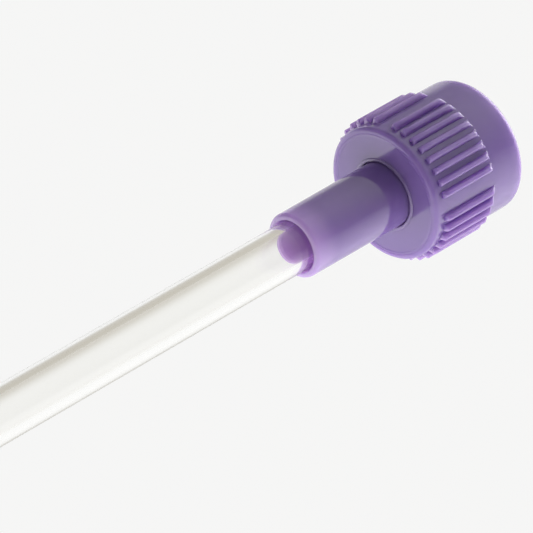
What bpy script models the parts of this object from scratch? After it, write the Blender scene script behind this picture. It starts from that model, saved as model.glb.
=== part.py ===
"""A medicine straw: a clear straw in a moulded hub, with a ribbed lock collar that swivels on the hub.

The whole part is turned about one axis. Its pieces are modelled with that axis along local +Z and
local zero on the collar's front face, and are parented to an empty that lays the axis along world
+X, with the collar's lowest rib on the ground plane. Lengths are in metres.
"""

import math

import bmesh
import bpy
from mathutils import Matrix, Vector

MM = 0.001

# Straw
STRAW_OUTER_RADIUS = 2.58 * MM
STRAW_WALL = 0.9 * MM
STRAW_EXPOSED_LENGTH = 115.0 * MM

# Neck of the hub, which holds the straw
NECK_LENGTH = 12.7 * MM
NECK_MOUTH_RADIUS = 3.38 * MM
NECK_ROOT_RADIUS = 3.42 * MM
NECK_EDGE_ROUND = 0.45 * MM
SOCKET_RADIUS = 2.68 * MM
SOCKET_DEPTH = 11.0 * MM
COUNTERSINK_RADIUS = 2.8 * MM
COUNTERSINK_DEPTH = 0.3 * MM
STRAW_END_GAP = 0.3 * MM

# Lock collar
COLLAR_LENGTH = 12.75 * MM
COLLAR_RADIUS = 7.0 * MM
COLLAR_WALL_THICKNESS = 1.8 * MM
FRONT_EDGE_ROUND = 0.45 * MM
REAR_EDGE_ROUND = 0.75 * MM
CAVITY_RADIUS = 5.55 * MM
CAVITY_LEAD_IN = 0.25 * MM

# Grip ribs: evenly spaced places round the collar, with every ninth one left empty
RIB_PLACES = 36
RIB_GROUP = 9
RIB_HEIGHT = 0.62 * MM
RIB_HALF_WIDTH = 0.36 * MM
RIB_HALF_DEPTH = 0.5 * MM
RIB_START = 1.2 * MM
RIB_LENGTH = 7.2 * MM
RIB_END_ROUND = 0.2 * MM

# Internal thread of the collar
THREAD_STARTS = 2
THREAD_LEAD = 5.0 * MM
THREAD_TURNS = 1.25
THREAD_CREST_RADIUS = 4.9 * MM
THREAD_CREST_WIDTH = 0.6 * MM
THREAD_ROOT_WIDTH = 1.3 * MM
THREAD_EMBED = 0.25 * MM
THREAD_FIRST_Z = 4.6 * MM

# Swivel: a bead on the hub turns in a groove of the collar's hole, between the hub's flange and neck
SWIVEL_HOLE_RADIUS = 3.58 * MM
SWIVEL_HOLE_LIP = 0.1 * MM
GROOVE_RADIUS = 4.05 * MM
GROOVE_START = 0.55 * MM
GROOVE_END = 1.35 * MM
BEAD_RADIUS = 3.8 * MM
BEAD_WIDTH = 0.2 * MM
BEAD_RAMP = 0.1 * MM
FLANGE_GAP = 0.25 * MM
FLANGE_THICKNESS = 1.0 * MM
FLANGE_RADIUS = 4.55 * MM

# Male cone and the passage through the hub
CONE_RECESS = 0.6 * MM
CONE_TIP_RADIUS = 2.7 * MM
CONE_BASE_RADIUS = 2.95 * MM
CONE_EDGE_ROUND = 0.25 * MM
PASSAGE_RADIUS = 1.45 * MM

# Facets of the turned shapes
COLLAR_STEPS = 72
HUB_STEPS = 48
STRAW_STEPS = 48
ARC_STEPS = 3
THREAD_STEPS_PER_TURN = 36
RIB_SIDES = 12
RIB_BEVEL_STEPS = 1
MERGE_DISTANCE = 1e-6

# Placement
FRONT_END_Z = -(NECK_LENGTH + STRAW_EXPOSED_LENGTH)
AXIS_HEIGHT = COLLAR_RADIUS + RIB_HEIGHT
AXIS_SHIFT = -(FRONT_END_Z + COLLAR_LENGTH) / 2


def clear_scene():
    for old in list(bpy.data.objects):
        bpy.data.objects.remove(old, do_unlink=True)


def new_collection(name):
    collection = bpy.data.collections.new(name)
    bpy.context.scene.collection.children.link(collection)
    return collection


def plastic(name, colour, roughness, transmission=0.0, ior=1.5):
    material = bpy.data.materials.new(name)
    material.use_nodes = True
    shader = material.node_tree.nodes["Principled BSDF"]
    shader.inputs["Base Color"].default_value = (*colour, 1.0)
    shader.inputs["Roughness"].default_value = roughness
    shader.inputs["Metallic"].default_value = 0.0
    shader.inputs["IOR"].default_value = ior
    shader.inputs["Transmission Weight"].default_value = transmission
    material.diffuse_color = (*colour, 1.0)
    return material


def arc(centre_r, centre_z, radius, start_deg, end_deg):
    """Points of an arc in the (radius, z) half plane, from one angle to another."""
    points = []
    for step in range(ARC_STEPS + 1):
        angle = math.radians(start_deg + (end_deg - start_deg) * step / ARC_STEPS)
        points.append((centre_r + radius * math.cos(angle), centre_z + radius * math.sin(angle)))
    return points


def object_of(name, bm, material, collection, parent):
    mesh = bpy.data.meshes.new(name)
    bm.to_mesh(mesh)
    bm.free()
    mesh.materials.append(material)
    piece = bpy.data.objects.new(name, mesh)
    collection.objects.link(piece)
    piece.parent = parent
    return piece


def turned(name, outline, steps, material, collection, parent):
    """A solid of revolution: outline is a closed loop that runs down outside and back up inside."""
    bm = bmesh.new()
    corners = [bm.verts.new((r, 0.0, z)) for r, z in outline]
    for first, second in zip(corners, corners[1:] + corners[:1]):
        bm.edges.new((first, second))
    piece = object_of(name, bm, material, collection, parent)
    screw = piece.modifiers.new("turn", "SCREW")
    screw.axis = "Z"
    screw.angle = math.tau
    screw.steps = steps
    screw.render_steps = steps
    screw.use_merge_vertices = True
    screw.merge_threshold = MERGE_DISTANCE
    return piece


def union_with(piece, addition):
    """Joins the shapes of a helper object to a piece."""
    addition.hide_render = True
    addition.display_type = "WIRE"
    join = piece.modifiers.new(f"join_{addition.name}", "BOOLEAN")
    join.operation = "UNION"
    join.solver = "EXACT"
    join.object = addition


def collar_outline():
    top, inside = COLLAR_LENGTH, COLLAR_WALL_THICKNESS
    rear_round = arc(COLLAR_RADIUS - REAR_EDGE_ROUND, top - REAR_EDGE_ROUND, REAR_EDGE_ROUND, 90, 0)
    front_round = arc(COLLAR_RADIUS - FRONT_EDGE_ROUND, FRONT_EDGE_ROUND, FRONT_EDGE_ROUND, 0, -90)
    hole_and_cavity = [
        (SWIVEL_HOLE_RADIUS + SWIVEL_HOLE_LIP, 0.0),
        (SWIVEL_HOLE_RADIUS, SWIVEL_HOLE_LIP),
        (SWIVEL_HOLE_RADIUS, GROOVE_START),
        (GROOVE_RADIUS, GROOVE_START),
        (GROOVE_RADIUS, GROOVE_END),
        (SWIVEL_HOLE_RADIUS, GROOVE_END),
        (SWIVEL_HOLE_RADIUS, inside),
        (CAVITY_RADIUS, inside),
        (CAVITY_RADIUS, top - CAVITY_LEAD_IN),
        (CAVITY_RADIUS + CAVITY_LEAD_IN, top),
    ]
    return rear_round + front_round + hole_and_cavity


def grip_ribs(material, collection, parent):
    """Bars of oval section along the collar, half sunk in its surface, with rounded ends."""
    bm = bmesh.new()
    centre_radius = COLLAR_RADIUS + RIB_HEIGHT - RIB_HALF_DEPTH
    for place in range(RIB_PLACES):
        if place % RIB_GROUP == RIB_GROUP - 1:
            continue
        bar = bmesh.ops.create_cone(
            bm,
            cap_ends=True,
            segments=RIB_SIDES,
            radius1=RIB_HALF_WIDTH,
            radius2=RIB_HALF_WIDTH,
            depth=RIB_LENGTH,
            matrix=Matrix.Rotation(math.tau * place / RIB_PLACES, 4, "Z")
            @ Matrix.Translation((centre_radius, 0.0, RIB_START + RIB_LENGTH / 2))
            @ Matrix.Diagonal((RIB_HALF_DEPTH / RIB_HALF_WIDTH, 1.0, 1.0, 1.0)),
        )
        ends = [f for f in {f for v in bar["verts"] for f in v.link_faces} if len(f.verts) == RIB_SIDES]
        bmesh.ops.bevel(
            bm,
            geom=[edge for face in ends for edge in face.edges],
            offset=RIB_END_ROUND,
            segments=RIB_BEVEL_STEPS,
            profile=0.5,
            affect="EDGES",
        )
    return object_of("rib_shapes", bm, material, collection, parent)


def thread_ridges(material, collection, parent):
    """The ridges of the collar's internal thread, each a trapezium swept along a helix."""
    bm = bmesh.new()
    steps = round(THREAD_STEPS_PER_TURN * THREAD_TURNS)
    root_radius = CAVITY_RADIUS + THREAD_EMBED
    section = [
        (THREAD_CREST_RADIUS, -THREAD_CREST_WIDTH / 2),
        (root_radius, -THREAD_ROOT_WIDTH / 2),
        (root_radius, THREAD_ROOT_WIDTH / 2),
        (THREAD_CREST_RADIUS, THREAD_CREST_WIDTH / 2),
    ]
    for start in range(THREAD_STARTS):
        turn = Matrix.Rotation(math.tau * start / THREAD_STARTS, 4, "Z")
        corners = [bm.verts.new(turn @ Vector((r, 0.0, THREAD_FIRST_Z + z))) for r, z in section]
        face = bm.faces.new(corners)
        bmesh.ops.spin(
            bm,
            geom=[face, *face.edges, *face.verts],
            cent=(0.0, 0.0, 0.0),
            axis=(0.0, 0.0, 1.0),
            dvec=(0.0, 0.0, THREAD_LEAD * THREAD_TURNS / steps),
            angle=math.tau * THREAD_TURNS,
            steps=steps,
        )
    bmesh.ops.recalc_face_normals(bm, faces=bm.faces)
    return object_of("thread_shapes", bm, material, collection, parent)


def lock_collar(material, parts, cutters, parent):
    collar = turned("lock_collar", collar_outline(), COLLAR_STEPS, material, parts, parent)
    union_with(collar, grip_ribs(material, cutters, parent))
    union_with(collar, thread_ridges(material, cutters, parent))
    return collar


def hub_outline():
    tip = COLLAR_LENGTH - CONE_RECESS
    flange_low = COLLAR_WALL_THICKNESS + FLANGE_GAP
    flange_top = flange_low + FLANGE_THICKNESS
    bead_middle = (GROOVE_START + GROOVE_END) / 2
    mouth = -NECK_LENGTH
    socket_floor = mouth + SOCKET_DEPTH
    cone_round = arc(CONE_TIP_RADIUS - CONE_EDGE_ROUND, tip - CONE_EDGE_ROUND, CONE_EDGE_ROUND, 90, 0)
    flange_and_bead = [
        (CONE_BASE_RADIUS, flange_top),
        (FLANGE_RADIUS, flange_top),
        (FLANGE_RADIUS, flange_low),
        (NECK_ROOT_RADIUS, flange_low),
        (NECK_ROOT_RADIUS, bead_middle + BEAD_WIDTH / 2 + BEAD_RAMP),
        (BEAD_RADIUS, bead_middle + BEAD_WIDTH / 2),
        (BEAD_RADIUS, bead_middle - BEAD_WIDTH / 2),
        (NECK_ROOT_RADIUS, bead_middle - BEAD_WIDTH / 2 - BEAD_RAMP),
        (NECK_ROOT_RADIUS, 0.0),
    ]
    mouth_round = arc(NECK_MOUTH_RADIUS - NECK_EDGE_ROUND, mouth + NECK_EDGE_ROUND, NECK_EDGE_ROUND, 0, -90)
    socket_and_passage = [
        (COUNTERSINK_RADIUS, mouth),
        (SOCKET_RADIUS, mouth + COUNTERSINK_DEPTH),
        (SOCKET_RADIUS, socket_floor),
        (PASSAGE_RADIUS, socket_floor),
        (PASSAGE_RADIUS, tip),
    ]
    return cone_round + flange_and_bead + mouth_round + socket_and_passage


def straw_outline():
    end = -NECK_LENGTH + SOCKET_DEPTH - STRAW_END_GAP
    bore = STRAW_OUTER_RADIUS - STRAW_WALL
    return [
        (STRAW_OUTER_RADIUS, end),
        (STRAW_OUTER_RADIUS, FRONT_END_Z),
        (bore, FRONT_END_Z),
        (bore, end),
    ]


def shade(piece):
    """Smooth shading, with edges kept crisp where the surface turns sharply."""
    piece.data.shade_smooth()
    piece.data.set_sharp_from_angle(angle=math.radians(35))


def main():
    clear_scene()
    parts = new_collection("medicine_straw")
    cutters = new_collection("helper_shapes")

    axis = bpy.data.objects.new("straw_axis", None)
    axis.location = (AXIS_SHIFT, 0.0, AXIS_HEIGHT)
    axis.rotation_euler = (0.0, math.pi / 2, 0.0)
    parts.objects.link(axis)

    purple = plastic("purple_plastic", (0.27, 0.16, 0.50), 0.22)
    clear = plastic("clear_plastic", (0.93, 0.94, 0.91), 0.05, transmission=1.0)

    shade(lock_collar(purple, parts, cutters, axis))
    shade(turned("connector_hub", hub_outline(), HUB_STEPS, purple, parts, axis))
    shade(turned("straw_tube", straw_outline(), STRAW_STEPS, clear, parts, axis))
    bpy.context.view_layer.update()


main()
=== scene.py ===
"""The looks of a medicine straw: fine meshes, plastics, table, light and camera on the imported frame."""

import math

import bpy
import numpy as np
from mathutils import Matrix, Vector


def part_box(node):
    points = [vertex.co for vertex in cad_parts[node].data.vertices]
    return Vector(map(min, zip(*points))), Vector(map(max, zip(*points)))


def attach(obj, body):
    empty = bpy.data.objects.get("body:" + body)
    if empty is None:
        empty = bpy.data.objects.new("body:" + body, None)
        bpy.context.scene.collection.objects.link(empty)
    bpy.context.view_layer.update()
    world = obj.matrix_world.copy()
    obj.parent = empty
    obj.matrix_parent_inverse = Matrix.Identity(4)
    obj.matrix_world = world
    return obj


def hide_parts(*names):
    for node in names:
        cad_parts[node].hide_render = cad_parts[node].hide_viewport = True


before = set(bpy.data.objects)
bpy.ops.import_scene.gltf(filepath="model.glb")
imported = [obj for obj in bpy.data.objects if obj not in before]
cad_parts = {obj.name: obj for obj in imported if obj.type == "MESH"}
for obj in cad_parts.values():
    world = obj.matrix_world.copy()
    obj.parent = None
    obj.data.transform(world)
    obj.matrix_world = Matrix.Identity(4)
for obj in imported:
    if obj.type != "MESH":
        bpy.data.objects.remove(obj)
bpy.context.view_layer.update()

MM = 0.001
ALONG_STRAW = (1.0, 0.0, 0.0)
UPWARDS = (0.0, 0.0, 1.0)

# Places that the frame gives. "Along" is measured from the collar's front face, towards its open end.
collar_low, collar_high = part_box("lock_collar")
hub_low, hub_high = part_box("connector_hub")
straw_low, straw_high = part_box("straw_tube")
FACE_X = collar_low.x
AXIS_Z = (collar_low.z + collar_high.z) / 2
COLLAR_LENGTH = collar_high.x - FACE_X
RIB_CREST_RADIUS = (collar_high.z - collar_low.z) / 2
MOUTH = hub_low.x - FACE_X
CONE_TIP = hub_high.x - FACE_X
STRAW_RADIUS = (straw_high.z - straw_low.z) / 2
STRAW_TIP = straw_low.x - FACE_X
STRAW_INNER_END = straw_high.x - FACE_X

# Lock collar
COLLAR_RADIUS = 7.0 * MM
COLLAR_WALL_THICKNESS = 1.8 * MM
FRONT_EDGE_ROUND = 0.45 * MM
REAR_EDGE_ROUND = 0.75 * MM
CAVITY_RADIUS = 5.55 * MM
CAVITY_LEAD_IN = 0.25 * MM
CAVITY_FLOOR_ROUND = 0.2 * MM
LEAD_IN_ROUND = 0.1 * MM
FACE_STEP_RADIUS = 6.2 * MM
FACE_STEP_DEPTH = 0.03 * MM
FACE_STEP_ROUND = 0.02 * MM
FACE_LINE_RADIUS = 6.42 * MM

# Ribs of the collar
RIB_PLACES = 36
RIB_GROUP = 9
RIB_START = 1.2 * MM
RIB_END = 8.4 * MM
RIB_HALF_WIDTH = 0.34 * MM
RIB_FLARE = 0.4
RIB_FLARE_LENGTH = 1.0 * MM
RIB_FLARE_LIMIT = math.radians(4)
RIB_FRONT_RAMP = 0.2 * MM
RIB_REAR_RAMP = 0.8 * MM
RIB_REAR_BEND = 1.6
RIB_HOLD = 0.06 * MM
RIB_SECTION_DEGREES = (0, 21, 42, 60, 77)
RIB_GAP_SHARES = (-0.4, -0.2, 0.0, 0.2, 0.4)
RIB_REAR_ROWS = 9
RIB_MIDDLE_ROWS = 4
RIB_FRONT_ROWS = 7

# Thread of the collar
THREAD_STARTS = 2
THREAD_LEAD = 5.0 * MM
THREAD_TURNS = 1.25
THREAD_DEPTH = 0.65 * MM
THREAD_CREST_WIDTH = 0.45 * MM
THREAD_ROOT_WIDTH = 1.25 * MM
THREAD_FIRST = 4.6 * MM
THREAD_RUN_OUT = 0.07

# Swivel
SWIVEL_HOLE_RADIUS = 3.58 * MM
SWIVEL_HOLE_ROUND = 0.05 * MM
LIP_RADIUS = 3.86 * MM
LIP_HEIGHT = 0.12 * MM
LIP_TAPER = 0.06 * MM
LIP_OVERHANG = 0.14 * MM
LIP_OUTER_ROUND = 0.14 * MM
LIP_INNER_ROUND = 0.08 * MM
GROOVE_RADIUS = 4.05 * MM
GROOVE_START = 0.55 * MM
GROOVE_END = 1.35 * MM
BEAD_RADIUS = 3.8 * MM
BEAD_WIDTH = 0.4 * MM
BEAD_ROUND = 0.05 * MM
FLANGE_START = 2.05 * MM
FLANGE_END = 3.05 * MM
FLANGE_RADIUS = 4.55 * MM
FLANGE_ROUND = 0.1 * MM

# Hub
NECK_MOUTH_RADIUS = 3.38 * MM
NECK_ROOT_RADIUS = 3.42 * MM
NECK_EDGE_ROUND = 0.45 * MM
SOCKET_RADIUS = 2.68 * MM
SOCKET_DEPTH = 11.0 * MM
SOCKET_ENTRY_ROUND = 0.1 * MM
SOCKET_FLOOR_ROUND = 0.15 * MM
COUNTERSINK_RADIUS = 2.8 * MM
COUNTERSINK_DEPTH = 0.3 * MM
COUNTERSINK_ROUND = 0.06 * MM
CONE_TIP_RADIUS = 2.7 * MM
CONE_TIP_ROUND = 0.25 * MM
CONE_BASE_RADIUS = 2.95 * MM
CONE_BASE_ROUND = 0.2 * MM
PASSAGE_RADIUS = 1.45 * MM
PASSAGE_ENTRY_ROUND = 0.1 * MM
PASSAGE_TIP_ROUND = 0.15 * MM

# Straw
STRAW_WALL = 0.9 * MM
STRAW_EDGE_ROUND = 0.05 * MM

# Fineness of the meshes
TURNED_COLUMNS = 192
ARC_STEPS = 6
SMALL_ARC_STEPS = 2
SMALL_ROUND = 0.15 * MM
HOLD_SHARE = 0.2
THREAD_ROW_SPACING = 0.07 * MM
SHARP_DEGREES = 40
SAME_RADIUS = 1e-9

# Purple plastic. Scales of noise are in cells per metre, here and for the clear plastic.
PURPLE = (0.217, 0.138, 0.38)
PURPLE_DRIFT = (0.205, 0.13, 0.362)
# Painted glow: a paler purple that stands in for light shining through the plastic's walls.
PAINTED_GLOW_PURPLE = (0.36, 0.25, 0.54)
PURPLE_IOR = 1.58
SCATTER_COLOUR_REACH = (1.0, 0.8, 0.95)
SCATTER_REACH = 3.2 * MM
DRIFT_SCALE = 240.0
PURPLE_GLOSS_SCALE = 1400.0
PURPLE_ROUGHNESS = (0.03, 0.07)
GRAIN_SCALE = 2600.0
GRAIN_STRENGTH = 0.15
GRAIN_HEIGHT = 0.004 * MM
# Painted glow: how far the paler purple reaches from the collar's rear rim and from the neck's mouth, and
# how much of it each gets.
COLLAR_PAINTED_GLOW_LENGTH = 2.0 * MM
COLLAR_PAINTED_GLOW_SHARE = 0.4
NECK_PAINTED_GLOW_LENGTH = 3.5 * MM
NECK_PAINTED_GLOW_SHARE = 1.0

# Clear plastic
CLEAR = (0.998, 0.998, 0.988)
CLEAR_DRIFT = (0.992, 0.992, 0.98)
CLEAR_IOR = 1.5
CLEAR_SPECULAR_LEVEL = 0.1
CLEAR_DRIFT_SCALE = 60.0
CLEAR_ROUGHNESS = (0.0, 0.015)
CUT_ROUGHNESS = 0.6
STREAK_SCALE = 1800.0
STREAK_STRETCH = (0.02, 1.0, 1.0)
STREAK_STRENGTH = 0.1
STREAK_HEIGHT = 0.002 * MM

# Where most values of a noise texture lie
NOISE_SPREAD = (0.3, 0.7)

# Camera, which looks at a point beside the collar's front face
CAMERA_AZIMUTH = -45.895
CAMERA_ELEVATION = 34.53
CAMERA_ROLL = 0.367
CAMERA_DISTANCE = 496.15 * MM
CAMERA_LENS_MM = 344.4
CAMERA_CLIP_START = 0.01
FACE_RIGHT_OF_VIEW = 11.371 * MM
FACE_ABOVE_VIEW = 6.997 * MM

# Stage and light
FLOOR_SIZE = 1.6
FLOOR_COLOUR = (0.92, 0.92, 0.915)
TENT_STRENGTH = 1.0
TENT_SLOPE = -3.4
TENT_BOW = -3.2
LEAST_STRENGTH = 0.3
SIDE_WAY = (0.96, 0.0, 0.27)
SIDE_FOCUS = 7.3
SIDE_STRENGTH = 4.4
BACKDROP_WAY = (0.59, 0.57, -0.57)
BACKDROP_EDGE = (0.6, 0.95)
WALL_EDGE = (-0.1, 0.1)
WALL_COLOUR = (0.75, 0.73, 0.69)
SHADE_WAY = (0.59, 0.806, 0.05)
SHADE_EDGE = (0.8, 1.0)
SHADE_COLOUR = (0.57, 0.54, 0.475)
BELOW_ONE_BOUNCE = 0.5


def unit(vector):
    """A vector's direction, at length 1."""
    return vector / np.linalg.norm(vector)


def rounded(corners):
    """A closed outline from corners (along, out, round).

    A corner with a round becomes an arc, with a point just past each of its ends, so that smooth
    shading keeps to the arc.
    """
    points = []
    for place, (along, out, radius) in enumerate(corners):
        corner = np.array((along, out))
        if radius == 0:
            points.append(corner)
            continue
        steps = SMALL_ARC_STEPS if radius < SMALL_ROUND else ARC_STEPS
        back = unit(np.array(corners[place - 1][:2]) - corner)
        ahead = unit(np.array(corners[(place + 1) % len(corners)][:2]) - corner)
        half = math.acos(float(np.clip(back @ ahead, -1, 1))) / 2
        reach = radius / math.tan(half)
        centre = corner + unit(back + ahead) * radius / math.sin(half)
        start, end = corner + back * reach - centre, corner + ahead * reach - centre
        sweep = math.pi - 2 * half
        points.append(centre + start + back * radius * HOLD_SHARE)
        for step in range(steps + 1):
            share = step / steps
            mix = start * math.sin((1 - share) * sweep) + end * math.sin(share * sweep)
            points.append(centre + mix / math.sin(sweep))
        points.append(centre + end + ahead * radius * HOLD_SHARE)
    return np.array(points)


def wrapped_mesh(name, along, angle, out):
    """A closed mesh about the part's axis, from a grid of rows and columns that wraps round both ways."""
    rows, columns = along.shape
    points = np.stack(
        [FACE_X + along, out * np.sin(angle), AXIS_Z - out * np.cos(angle)], axis=-1
    )
    index = np.arange(rows * columns).reshape(rows, columns)
    below = np.roll(index, -1, axis=0)
    quads = np.stack([index, below, np.roll(below, -1, axis=1), np.roll(index, -1, axis=1)], axis=-1)
    mesh = bpy.data.meshes.new(name)
    mesh.from_pydata(points.reshape(-1, 3).tolist(), [], quads.reshape(-1, 4).tolist())
    mesh.shade_smooth()
    mesh.set_sharp_from_angle(angle=math.radians(SHARP_DEGREES))
    piece = bpy.data.objects.new(name, mesh)
    bpy.context.scene.collection.objects.link(piece)
    return piece


def turned(name, outline):
    """A solid of revolution from a closed outline that runs towards the straw's tip on its outer side."""
    angle = np.linspace(0, math.tau, TURNED_COLUMNS, endpoint=False)
    grid = np.ones((len(outline), TURNED_COLUMNS))
    return wrapped_mesh(name, outline[:, :1] * grid, angle * grid, outline[:, 1:] * grid)


def rib_columns():
    """Columns round the collar: the angle of a place's centre, the angle from it, and the full height."""
    height = RIB_CREST_RADIUS - COLLAR_RADIUS
    turns = np.radians(RIB_SECTION_DEGREES)
    half = [(RIB_HALF_WIDTH * math.sin(turn), height * math.cos(turn)) for turn in turns]
    half += [(RIB_HALF_WIDTH, 0.0), (RIB_HALF_WIDTH + RIB_HOLD, 0.0)]
    section = [(-across, high) for across, high in half[:0:-1]] + half
    pitch = math.tau / RIB_PLACES
    columns = []
    for place in range(RIB_PLACES):
        centre = place * pitch
        if place % RIB_GROUP == RIB_GROUP - 1:
            columns += [(centre, share * pitch, 0.0) for share in RIB_GAP_SHARES]
        else:
            columns += [(centre, across / COLLAR_RADIUS, high) for across, high in section]
        columns.append((centre, pitch / 2, 0.0))
    return np.array(columns).T


def rib_rows():
    """Places along the barrel that the ribs' shape needs, from their rear end to their front end."""
    rear = RIB_END - RIB_REAR_RAMP * np.linspace(0, 1, RIB_REAR_ROWS)
    turns = np.linspace(0, math.pi / 2, RIB_FRONT_ROWS)
    front = RIB_START + RIB_FRONT_RAMP * (1 - np.cos(turns))[::-1]
    middle = np.linspace(rear[-1], front[0], RIB_MIDDLE_ROWS + 2)[1:-1]
    return [RIB_END + RIB_HOLD, *rear, *middle, *front, RIB_START - RIB_HOLD]


def rib_share(along):
    """The share of its height that a rib has: a steep round front end and a sloping rear end."""
    front = np.clip((along - RIB_START) / RIB_FRONT_RAMP, 0, 1)
    rear = np.clip((RIB_END - along) / RIB_REAR_RAMP, 0, 1)
    return np.minimum(np.sqrt(1 - (1 - front) ** 2), 1 - (1 - rear) ** RIB_REAR_BEND)


def rib_flare(along):
    """How much wider a rib is at a place along the collar, for it spreads towards its rear end."""
    share = np.clip((along - RIB_END + RIB_FLARE_LENGTH) / RIB_FLARE_LENGTH, 0, 1)
    return 1 + RIB_FLARE * share**2 * (along < RIB_END + RIB_HOLD / 2)


def thread_height(along, angle):
    """The height of the thread's ridges over the cavity's wall."""
    height = np.zeros_like(along)
    for start in range(THREAD_STARTS):
        first_turn = (angle / math.tau - start / THREAD_STARTS) % 1.0
        for turn in (first_turn, first_turn + 1.0):
            away = np.abs(along - THREAD_FIRST - THREAD_LEAD * turn)
            flank = (THREAD_ROOT_WIDTH / 2 - away) / ((THREAD_ROOT_WIDTH - THREAD_CREST_WIDTH) / 2)
            run_out = np.minimum(turn, THREAD_TURNS - turn) / THREAD_RUN_OUT
            rise = np.sin(np.clip(flank, 0, 1) * math.pi / 2) ** 2
            height = np.maximum(height, THREAD_DEPTH * rise * np.clip(run_out, 0, 1))
    return height


def lock_collar():
    """The collar: ribbed barrel, stepped front face, lip round the swivel hole, groove and thread."""
    front, inside, rim = FACE_STEP_DEPTH, COLLAR_WALL_THICKNESS, COLLAR_LENGTH
    thread_low = THREAD_FIRST - THREAD_ROOT_WIDTH / 2
    thread_high = THREAD_FIRST + THREAD_LEAD * THREAD_TURNS + THREAD_ROOT_WIDTH / 2
    cavity_rows = np.arange(thread_low, thread_high, THREAD_ROW_SPACING)
    corners = [(rim, COLLAR_RADIUS, REAR_EDGE_ROUND)]
    corners += [(along, COLLAR_RADIUS, 0) for along in rib_rows()]
    corners += [
        (0.0, COLLAR_RADIUS, FRONT_EDGE_ROUND),
        (0.0, FACE_LINE_RADIUS + FACE_STEP_DEPTH, 0),
        (front, FACE_LINE_RADIUS, 0),
        (0.0, FACE_LINE_RADIUS - FACE_STEP_DEPTH, 0),
        (0.0, FACE_STEP_RADIUS, FACE_STEP_ROUND),
        (front, FACE_STEP_RADIUS - 2 * FACE_STEP_DEPTH, FACE_STEP_ROUND),
        (front, LIP_RADIUS, FACE_STEP_ROUND),
        (front - LIP_HEIGHT, LIP_RADIUS - LIP_TAPER, LIP_OUTER_ROUND),
        (front - LIP_HEIGHT, SWIVEL_HOLE_RADIUS - LIP_OVERHANG, LIP_INNER_ROUND),
        (front + LIP_HEIGHT, SWIVEL_HOLE_RADIUS, 0),
        (GROOVE_START, SWIVEL_HOLE_RADIUS, 0),
        (GROOVE_START, GROOVE_RADIUS, 0),
        (GROOVE_END, GROOVE_RADIUS, 0),
        (GROOVE_END, SWIVEL_HOLE_RADIUS, 0),
        (inside, SWIVEL_HOLE_RADIUS, SWIVEL_HOLE_ROUND),
        (inside, CAVITY_RADIUS, CAVITY_FLOOR_ROUND),
    ]
    corners += [(along, CAVITY_RADIUS, 0) for along in cavity_rows]
    corners += [
        (rim - CAVITY_LEAD_IN, CAVITY_RADIUS, LEAD_IN_ROUND),
        (rim, CAVITY_RADIUS + CAVITY_LEAD_IN, LEAD_IN_ROUND),
    ]
    outline = rounded(corners)
    centre, aside, height = rib_columns()
    along = outline[:, :1] * np.ones(len(centre))
    radius = outline[:, 1:] * np.ones(len(centre))
    on_barrel = np.isclose(radius, COLLAR_RADIUS, atol=SAME_RADIUS)
    share = np.where(on_barrel, rib_share(along), 0.0)
    in_cavity = np.isclose(radius, CAVITY_RADIUS, atol=SAME_RADIUS)
    narrow = np.abs(aside) < RIB_FLARE_LIMIT
    angle = centre + aside * np.where(narrow & on_barrel, rib_flare(along), 1.0)
    radius = radius + height * share - np.where(in_cavity, thread_height(along, angle), 0.0)
    return wrapped_mesh("collar", along, angle, radius)


def connector_hub():
    """The hub: male cone, flange, snap bead and the neck with its socket."""
    bead_middle = (GROOVE_START + GROOVE_END) / 2
    outline = rounded(
        [
            (CONE_TIP, CONE_TIP_RADIUS, CONE_TIP_ROUND),
            (FLANGE_END, CONE_BASE_RADIUS, CONE_BASE_ROUND),
            (FLANGE_END, FLANGE_RADIUS, FLANGE_ROUND),
            (FLANGE_START, FLANGE_RADIUS, FLANGE_ROUND),
            (FLANGE_START, NECK_ROOT_RADIUS, FLANGE_ROUND),
            (bead_middle + BEAD_WIDTH, NECK_ROOT_RADIUS, BEAD_ROUND),
            (bead_middle + BEAD_WIDTH / 4, BEAD_RADIUS, BEAD_ROUND),
            (bead_middle - BEAD_WIDTH / 4, BEAD_RADIUS, BEAD_ROUND),
            (bead_middle - BEAD_WIDTH, NECK_ROOT_RADIUS, BEAD_ROUND),
            (MOUTH, NECK_MOUTH_RADIUS, NECK_EDGE_ROUND),
            (MOUTH, COUNTERSINK_RADIUS, COUNTERSINK_ROUND),
            (MOUTH + COUNTERSINK_DEPTH, SOCKET_RADIUS, SOCKET_ENTRY_ROUND),
            (MOUTH + SOCKET_DEPTH, SOCKET_RADIUS, SOCKET_FLOOR_ROUND),
            (MOUTH + SOCKET_DEPTH, PASSAGE_RADIUS, PASSAGE_ENTRY_ROUND),
            (CONE_TIP, PASSAGE_RADIUS, PASSAGE_TIP_ROUND),
        ]
    )
    return turned("hub", outline)


def straw_tube():
    """The clear tube, with a real wall."""
    bore = STRAW_RADIUS - STRAW_WALL
    outline = rounded(
        [
            (STRAW_INNER_END, STRAW_RADIUS, STRAW_EDGE_ROUND),
            (STRAW_TIP, STRAW_RADIUS, STRAW_EDGE_ROUND),
            (STRAW_TIP, bore, STRAW_EDGE_ROUND),
            (STRAW_INNER_END, bore, STRAW_EDGE_ROUND),
        ]
    )
    return turned("straw", outline)


def maths(nodes, links, operation, *values):
    """One step of arithmetic on values, each given as a number or as a socket."""
    node = nodes.new("ShaderNodeMath")
    node.operation = operation
    for socket, value in zip(node.inputs, values):
        if isinstance(value, (int, float)):
            socket.default_value = value
        else:
            links.new(value, socket)
    return node.outputs["Value"]


def smooth_rise(nodes, links, value, low, high):
    """A value's smooth rise from 0 at the low mark to 1 at the high mark."""
    level = nodes.new("ShaderNodeMapRange")
    level.interpolation_type = "SMOOTHSTEP"
    level.inputs["From Min"].default_value = low
    level.inputs["From Max"].default_value = high
    links.new(value, level.inputs["Value"])
    return level.outputs["Result"]


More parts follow.
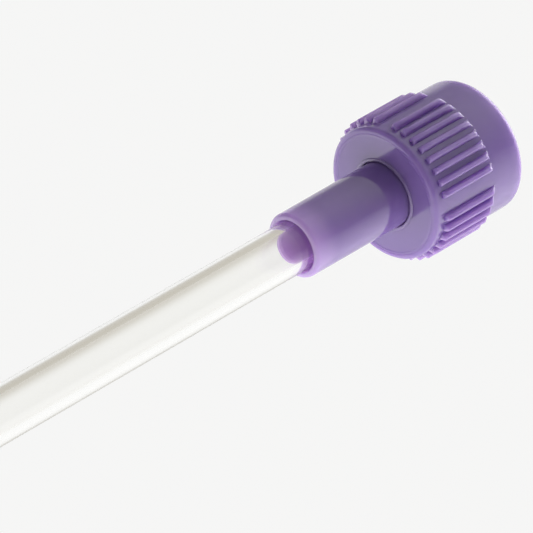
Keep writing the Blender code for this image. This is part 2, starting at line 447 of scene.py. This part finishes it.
def facing(nodes, links, direction, way):
    """How far a direction or a place lies along a given way."""
    product = nodes.new("ShaderNodeVectorMath")
    product.operation = "DOT_PRODUCT"
    product.inputs[1].default_value = way
    links.new(direction, product.inputs[0])
    return product.outputs["Value"]


def noise(nodes, links, coordinates, scale, detail=2.0, roughness=0.5):
    """Noise over the coordinates, finer with more detail and harsher with more roughness."""
    texture = nodes.new("ShaderNodeTexNoise")
    texture.inputs["Scale"].default_value = scale
    texture.inputs["Detail"].default_value = detail
    texture.inputs["Roughness"].default_value = roughness
    links.new(coordinates, texture.inputs["Vector"])
    return texture.outputs["Fac"]


def ranged(nodes, links, value, low, high):
    """Maps the spread of a noise to a range."""
    mapping = nodes.new("ShaderNodeMapRange")
    mapping.inputs["From Min"].default_value = NOISE_SPREAD[0]
    mapping.inputs["From Max"].default_value = NOISE_SPREAD[1]
    mapping.inputs["To Min"].default_value = low
    mapping.inputs["To Max"].default_value = high
    links.new(value, mapping.inputs["Value"])
    return mapping.outputs["Result"]


def mixed_colour(nodes, links, share, first, second):
    """A mix of two colours, each given as numbers or as a socket."""
    mix = nodes.new("ShaderNodeMix")
    mix.data_type = "RGBA"
    links.new(share, mix.inputs["Factor"])
    for name, colour in (("A", first), ("B", second)):
        socket = next(s for s in mix.inputs if s.name == name and s.type == "RGBA")
        if isinstance(colour, tuple):
            socket.default_value = (*colour, 1.0)
        else:
            links.new(colour, socket)
    return next(s for s in mix.outputs if s.type == "RGBA")


def purple_plastic(name, painted_glow_end, painted_glow_start, painted_glow_share):
    """Glossy moulded plastic that light gets a little way into, with a painted glow: paler towards one
    end, where light would shine through the wall.
    """
    material = bpy.data.materials.new(name)
    material.use_nodes = True
    nodes, links = material.node_tree.nodes, material.node_tree.links
    shader = nodes["Principled BSDF"]
    shader.inputs["IOR"].default_value = PURPLE_IOR
    shader.inputs["Subsurface Weight"].default_value = 1.0
    shader.inputs["Subsurface Radius"].default_value = SCATTER_COLOUR_REACH
    shader.inputs["Subsurface Scale"].default_value = SCATTER_REACH
    coordinates = nodes.new("ShaderNodeTexCoord").outputs["Object"]
    drift = ranged(nodes, links, noise(nodes, links, coordinates, DRIFT_SCALE), 0.0, 1.0)
    colour = mixed_colour(nodes, links, drift, PURPLE, PURPLE_DRIFT)
    along = facing(nodes, links, coordinates, ALONG_STRAW)
    # Painted glow: the colour turns paler towards one end, standing in for light that shines through the
    # wall there.
    painted_glow = smooth_rise(nodes, links, along, FACE_X + painted_glow_start, FACE_X + painted_glow_end)
    painted_glow = maths(nodes, links, "MULTIPLY", painted_glow, painted_glow_share)
    colour = mixed_colour(nodes, links, painted_glow, colour, PAINTED_GLOW_PURPLE)
    patches = noise(nodes, links, coordinates, PURPLE_GLOSS_SCALE, detail=3.0)
    gloss = ranged(nodes, links, patches, *PURPLE_ROUGHNESS)
    bump = nodes.new("ShaderNodeBump")
    bump.inputs["Strength"].default_value = GRAIN_STRENGTH
    bump.inputs["Distance"].default_value = GRAIN_HEIGHT
    grain = noise(nodes, links, coordinates, GRAIN_SCALE, detail=4.0, roughness=0.6)
    links.new(grain, bump.inputs["Height"])
    links.new(colour, shader.inputs["Base Color"])
    links.new(gloss, shader.inputs["Roughness"])
    links.new(bump.outputs["Normal"], shader.inputs["Normal"])
    return material


def clear_plastic(name):
    """Clear extruded plastic, with faint streaks along the tube and rough cut ends."""
    material = bpy.data.materials.new(name)
    material.use_nodes = True
    nodes, links = material.node_tree.nodes, material.node_tree.links
    shader = nodes["Principled BSDF"]
    shader.inputs["IOR"].default_value = CLEAR_IOR
    shader.inputs["Specular IOR Level"].default_value = CLEAR_SPECULAR_LEVEL
    shader.inputs["Transmission Weight"].default_value = 1.0
    coordinates = nodes.new("ShaderNodeTexCoord").outputs["Object"]
    stretch = nodes.new("ShaderNodeMapping")
    stretch.inputs["Scale"].default_value = STREAK_STRETCH
    links.new(coordinates, stretch.inputs["Vector"])
    streaks = noise(nodes, links, stretch.outputs["Vector"], STREAK_SCALE, detail=3.0)
    drift = ranged(nodes, links, noise(nodes, links, coordinates, CLEAR_DRIFT_SCALE), 0.0, 1.0)
    colour = mixed_colour(nodes, links, drift, CLEAR, CLEAR_DRIFT)
    gloss = ranged(nodes, links, streaks, *CLEAR_ROUGHNESS)
    along = facing(nodes, links, coordinates, ALONG_STRAW)
    tip = FACE_X + STRAW_TIP
    cut = smooth_rise(nodes, links, along, tip + 2 * STRAW_EDGE_ROUND, tip)
    gloss = maths(nodes, links, "MULTIPLY_ADD", cut, CUT_ROUGHNESS, gloss)
    bump = nodes.new("ShaderNodeBump")
    bump.inputs["Strength"].default_value = STREAK_STRENGTH
    bump.inputs["Distance"].default_value = STREAK_HEIGHT
    links.new(streaks, bump.inputs["Height"])
    links.new(colour, shader.inputs["Base Color"])
    links.new(gloss, shader.inputs["Roughness"])
    links.new(bump.outputs["Normal"], shader.inputs["Normal"])
    return material


def dress(piece, material, body, node):
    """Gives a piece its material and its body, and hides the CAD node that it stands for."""
    piece.data.materials.append(material)
    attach(piece, body)
    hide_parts(node)


def add_floor():
    """A pale table that only the camera sees, with an even glow that takes no shadow.

    It is tilted so that it touches both the collar's lowest rib and the straw's tip.
    """
    mesh = bpy.data.meshes.new("floor")
    half = FLOOR_SIZE / 2
    mesh.from_pydata(
        [(-half, -half, 0), (half, -half, 0), (half, half, 0), (-half, half, 0)], [], [(0, 1, 2, 3)]
    )
    floor = bpy.data.objects.new("floor", mesh)
    bpy.context.scene.collection.objects.link(floor)
    contact = Vector((FACE_X + RIB_START, 0.0, AXIS_Z - RIB_CREST_RADIUS))
    tip = Vector((straw_low.x, 0.0, AXIS_Z - STRAW_RADIUS))
    slope = math.atan2(tip.z - contact.z, contact.x - tip.x)
    floor.matrix_world = Matrix.Translation(contact) @ Matrix.Rotation(slope, 4, "Y")
    material = bpy.data.materials.new("floor")
    material.use_nodes = True
    nodes, links = material.node_tree.nodes, material.node_tree.links
    nodes.clear()
    output = nodes.new("ShaderNodeOutputMaterial")
    glow = nodes.new("ShaderNodeEmission")
    glow.inputs["Color"].default_value = (*FLOOR_COLOUR, 1.0)
    links.new(glow.outputs["Emission"], output.inputs["Surface"])
    mesh.materials.append(material)
    floor.visible_glossy = False
    floor.visible_diffuse = False
    floor.visible_transmission = False
    floor.visible_shadow = False


def add_world():
    """Light from all round, with a side lobe and a dimmer backdrop.

    The camera sees the table's colour past the table's edge. Rays that pass through the clear tube
    see a plain table and room, with one darker patch.
    """
    world = bpy.data.worlds.new("tent")
    bpy.context.scene.world = world
    world.use_nodes = True
    nodes, links = world.node_tree.nodes, world.node_tree.links
    background = nodes["Background"]
    direction = nodes.new("ShaderNodeTexCoord").outputs["Generated"]

    up = facing(nodes, links, direction, UPWARDS)
    slope = maths(nodes, links, "MULTIPLY_ADD", up, TENT_SLOPE, TENT_STRENGTH)
    bow = maths(nodes, links, "MULTIPLY", maths(nodes, links, "MULTIPLY", up, up), TENT_BOW)
    tent = maths(nodes, links, "MAXIMUM", maths(nodes, links, "ADD", slope, bow), LEAST_STRENGTH)
    side = maths(nodes, links, "MAXIMUM", facing(nodes, links, direction, SIDE_WAY), 0.0)
    side = maths(nodes, links, "POWER", side, SIDE_FOCUS)
    tent = maths(nodes, links, "MULTIPLY_ADD", side, SIDE_STRENGTH, tent)
    beyond = smooth_rise(nodes, links, facing(nodes, links, direction, BACKDROP_WAY), *BACKDROP_EDGE)
    tent = mixed_colour(nodes, links, beyond, tent, FLOOR_COLOUR)
    path = nodes.new("ShaderNodeLightPath")
    transmitted, scattered = path.outputs["Transmission Depth"], path.outputs["Diffuse Depth"]
    through_tube = maths(nodes, links, "GREATER_THAN", transmitted, BELOW_ONE_BOUNCE)
    before_diffuse = maths(nodes, links, "LESS_THAN", scattered, BELOW_ONE_BOUNCE)
    in_tube = maths(nodes, links, "MULTIPLY", through_tube, before_diffuse)
    wall = smooth_rise(nodes, links, up, *WALL_EDGE)
    room = mixed_colour(nodes, links, wall, FLOOR_COLOUR, WALL_COLOUR)
    shade = smooth_rise(nodes, links, facing(nodes, links, direction, SHADE_WAY), *SHADE_EDGE)
    room = mixed_colour(nodes, links, shade, room, SHADE_COLOUR)
    tent = mixed_colour(nodes, links, path.outputs["Is Camera Ray"], tent, FLOOR_COLOUR)
    links.new(mixed_colour(nodes, links, in_tube, tent, room), background.inputs["Color"])


def add_camera():
    """The camera, placed so that the collar's front face lies where the photo has it."""
    azimuth, elevation = math.radians(CAMERA_AZIMUTH), math.radians(CAMERA_ELEVATION)
    back = Vector(
        (
            math.sin(azimuth) * math.cos(elevation),
            -math.cos(azimuth) * math.cos(elevation),
            math.sin(elevation),
        )
    )
    level = Vector((math.cos(azimuth), math.sin(azimuth), 0.0))
    roll = Matrix.Rotation(math.radians(CAMERA_ROLL), 3, back)
    right = roll @ level
    up = roll @ back.cross(level)
    face = Vector((FACE_X, 0.0, AXIS_Z))
    place = face - right * FACE_RIGHT_OF_VIEW - up * FACE_ABOVE_VIEW + back * CAMERA_DISTANCE
    lens = bpy.data.cameras.new("camera")
    lens.lens = CAMERA_LENS_MM
    lens.clip_start = CAMERA_CLIP_START
    camera = bpy.data.objects.new("camera", lens)
    bpy.context.scene.collection.objects.link(camera)
    camera.matrix_world = Matrix.Translation(place) @ Matrix((right, up, back)).transposed().to_4x4()
    bpy.context.scene.camera = camera


bpy.context.scene.view_settings.view_transform = "Standard"
add_camera()
add_world()
add_floor()

# Painted glow towards the collar's rear rim and towards the neck's mouth.
collar_painted_glow_start = COLLAR_LENGTH - COLLAR_PAINTED_GLOW_LENGTH
collar_plastic = purple_plastic(
    "purple_plastic_collar", COLLAR_LENGTH, collar_painted_glow_start, COLLAR_PAINTED_GLOW_SHARE
)
dress(lock_collar(), collar_plastic, "collar", "lock_collar")
hub_plastic = purple_plastic("purple_plastic", MOUTH, MOUTH + NECK_PAINTED_GLOW_LENGTH, NECK_PAINTED_GLOW_SHARE)
dress(connector_hub(), hub_plastic, "straw", "connector_hub")
straw = straw_tube()
# Light has to reach the hub's socket through the clear tube.
straw.visible_shadow = False
dress(straw, clear_plastic("clear_plastic"), "straw", "straw_tube")
